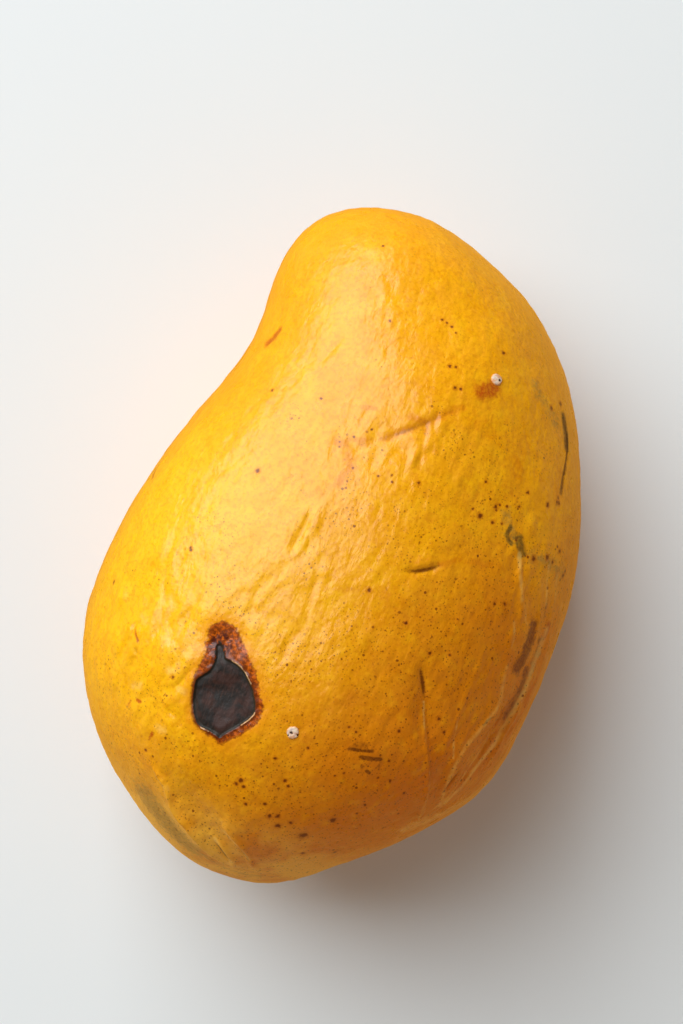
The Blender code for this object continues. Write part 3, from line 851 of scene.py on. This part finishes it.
def gloss(r, dry, bruised, in_plate):
    """Waxy gloss, dull where the skin is dry or bruised and on the scar's plate."""
    rough = r.step(r.noise(4, 3.0, shift=(0, 9, 9)), 0.30, 0.70, *SKIN_ROUGHNESS)
    rough = r.plus(rough, dry, DRY_ROUGHER)
    rough = r.plus(rough, bruised, BRUISED_ROUGHER)
    r.use("Roughness", r.plus(rough, in_plate, PLATE_ROUGHER))
    r.use("IOR", 1.42)
    r.use("Coat Weight", 0.06)
    r.use("Coat Roughness", 0.20)
    r.use("Sheen Weight", 0.38)
    r.use("Sheen Roughness", 0.40)
    r.use("Sheen Tint", (1.0, 0.50, 0.06, 1.0))


def leathery_grain(r):
    """Pits and small wrinkles, in mm of height."""
    pits = r.cells(PIT_SIZE, "SMOOTH_F1", stretch=(1, 1.35, 1), Smoothness=0.5)
    height = r.times(r.step(pits, 0.05, 0.70), PIT_DEPTH)
    crepe = r.noise(CREPE_SIZE, 3.0, 0.55, stretch=(1, 2.2, 1), shift=(1, 1, 1), distortion=0.4)
    height = r.plus(height, crepe, CREPE_HEIGHT)
    bump_up(r, r.plus(height, r.noise(GRAIN_SIZE, 2.0, 0.5), GRAIN_HEIGHT))


def bump_up(r, height):
    bump = r.add("Bump", {"Strength": 1.0, "Distance": MM, "Height": height})
    r.use("Normal", bump.outputs["Normal"])


def skin_material(skin):
    r = Recipe("mango_skin")
    ground, warm, dry = ground_colour(r)
    ground = stem_scar(r, ground)
    broken = r.swing(1.1, 4.0, 0.65, shift=(4, 4, 9))
    ground, bruised = stains_and_highlights(r, ground, broken)
    ground = specks(r, ground, warm)
    ground = dots(r, ground, skin)
    ground = crease_bottoms(r, ground, broken)
    ground, plate = dying_skin(r, ground)
    colour, in_plate = dark_plate(r, ground, plate)
    r.use("Base Color", torn_rim(r, colour, plate))
    gloss(r, dry, bruised, in_plate)
    leathery_grain(r)
    return r.material


def wax_material(name, middle, radius, holes):
    """The chalky wax of a scale insect's cover, with dark holes at the given places in mm."""
    r = Recipe(name)
    chalk = r.mix(r.step(r.noise(0.5, 3.0), 0.35, 0.7), (246, 220, 190), (216, 190, 182))
    stained = r.step(r.noise(0.8, 3.0, shift=(4, 4, 4)), 0.42, 0.62, 0.0, 0.75)
    colour = r.mix(stained, chalk, (226, 150, 92))
    brim = r.plus(r.away_from(middle, radius), r.noise(0.6, 2.0), 0.4)
    colour = r.mix(r.step(brim, 0.95, 1.25, 0.0, 0.85), colour, (222, 150, 60))
    for place, hole_radius in holes:
        away = r.plus(r.away_from(place, hole_radius), r.noise(0.3), 0.3)
        colour = r.mix(r.step(away, 1.35, 0.85), colour, (60, 28, 12))
    r.use("Base Color", colour)
    r.use("Roughness", 0.62)
    bump_up(r, r.times(r.noise(0.3, 3.0), 0.05))
    return r.material


def scale_insect(skin, name, pixel, radius, holes):
    """A low round cover with a thin brim and dents for its holes, sitting on the skin."""
    place = Vector(skin.under(pixel))
    outward = skin.tree.find_nearest(place)[1]
    if outward.z < 0:
        outward.negate()
    to_place = Matrix.Translation(place) @ outward.to_track_quat("Z", "Y").to_matrix().to_4x4()
    back = to_place.inverted()
    hole_places = [(place + RIGHT * right + UP * up, hole_radius) for right, up, hole_radius in holes]
    deselect_all()
    bpy.ops.mesh.primitive_uv_sphere_add(segments=40, ring_count=20, radius=1.0)
    piece = bpy.context.object
    piece.name = piece.data.name = name
    for vertex in piece.data.vertices:
        x, y, z = vertex.co
        out = math.hypot(x, y)
        wavy = 1 + EDGE_WAVES * noise.noise(Vector((x * 1.6, y * 1.6, radius * 9)))
        low = COVER_HEIGHT * (1 - out**2) ** 0.5 if z > 0 else -COVER_FOOT
        brim = BRIM_HEIGHT * math.exp(-(((out - BRIM_PLACE) / BRIM_WIDTH) ** 2)) if z > 0 else 0.0
        vertex.co = Vector((x * wavy, y * wavy, low + brim)) * radius
        for hole, hole_radius in hole_places:
            if vertex.co.z > 0:
                away = (vertex.co.xy - (back @ hole).xy).length / hole_radius
                vertex.co.z -= DENT_DEPTH * radius * math.exp(-((away / 0.8) ** 2))
    piece.data.transform(to_place)
    piece.data.transform(Matrix.Scale(MM, 4))
    bpy.ops.object.shade_smooth()
    piece.data.materials.append(wax_material(name + "_wax", place, radius, hole_places))
    return piece


def plane(name, material_name, height):
    """(a level plane as large as the table, the recipe of its material)."""
    deselect_all()
    bpy.ops.mesh.primitive_plane_add(size=TABLE_SIZE * MM, location=(0, 0, height * MM))
    piece = bpy.context.object
    piece.name = name
    r = Recipe(material_name)
    piece.data.materials.append(r.material)
    return piece, r


def table():
    top, r = plane("table", "pale_table", 0.0)
    r.use("Base Color", (*TABLE_COLOUR, 1.0))
    r.use("Roughness", TABLE_ROUGHNESS)
    top.visible_glossy = False
    # A glowing card that only the fruit's gloss sees: a painted reflection of the table's shaded top
    glow, r = plane("table_glow", "warm_glow", -GLOW_DEPTH)
    r.use("Base Color", (0.0, 0.0, 0.0, 1.0))
    r.use("Specular IOR Level", 0.0)
    r.use("Emission Color", (*GLOW_COLOUR, 1.0))
    r.use("Emission Strength", 1.0)
    glow.visible_camera = glow.visible_diffuse = glow.visible_shadow = False


def area_light(name, place, size, watts, colour):
    """A square light that the camera doesn't see."""
    light = bpy.data.lights.new(name, "AREA")
    light.size, light.energy, light.color = size * MM, watts, colour
    holder = bpy.data.objects.new(name, light)
    holder.location = from_photo(*place)
    holder.visible_camera = False
    bpy.context.scene.collection.objects.link(holder)
    return holder


def lights():
    window = area_light("window", WINDOW_PLACE, WINDOW_SIZE, WINDOW_WATTS, WINDOW_COLOUR)
    window.rotation_euler = (-WINDOW_LEAN, 0, CAMERA_TURN)
    fill = area_light("fill", FILL_PLACE, FILL_SIZE, FILL_WATTS, FILL_COLOUR)
    fill.rotation_euler = (-fill.location).to_track_quat("-Z", "Y").to_euler()
    fill.visible_glossy = False
    room = bpy.data.worlds.new("room")
    room.use_nodes = True
    air = room.node_tree.nodes["Background"]
    air.inputs["Color"].default_value = (*ROOM_COLOUR, 1.0)
    air.inputs["Strength"].default_value = ROOM_STRENGTH
    bpy.context.scene.world = room
    room.cycles_visibility.glossy = False


def camera():
    eye = bpy.data.cameras.new("camera")
    eye.lens, eye.sensor_width = LENS, SENSOR
    holder = bpy.data.objects.new("camera", eye)
    holder.location = CAMERA_PLACE * MM
    holder.rotation_euler = (0, 0, CAMERA_TURN)
    bpy.context.scene.collection.objects.link(holder)
    bpy.context.scene.camera = holder


def mango():
    skin = Skin(finer_skin())
    divide_for_detail(skin)
    shape_wrinkles(skin)
    shape_folds(skin)
    shape_scar(skin)
    keep_stains_and_highlights(skin)
    skin.piece.data.materials.clear()
    skin.piece.data.materials.append(skin_material(skin))
    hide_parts("mango")
    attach(skin.piece, "root")
    for name, (pixel, radius, holes) in SCALE_INSECTS.items():
        insect = scale_insect(skin, name, pixel, radius, holes)
        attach(insect, "root")


bpy.context.scene.view_settings.view_transform = "Standard"
camera()
table()
lights()
mango()
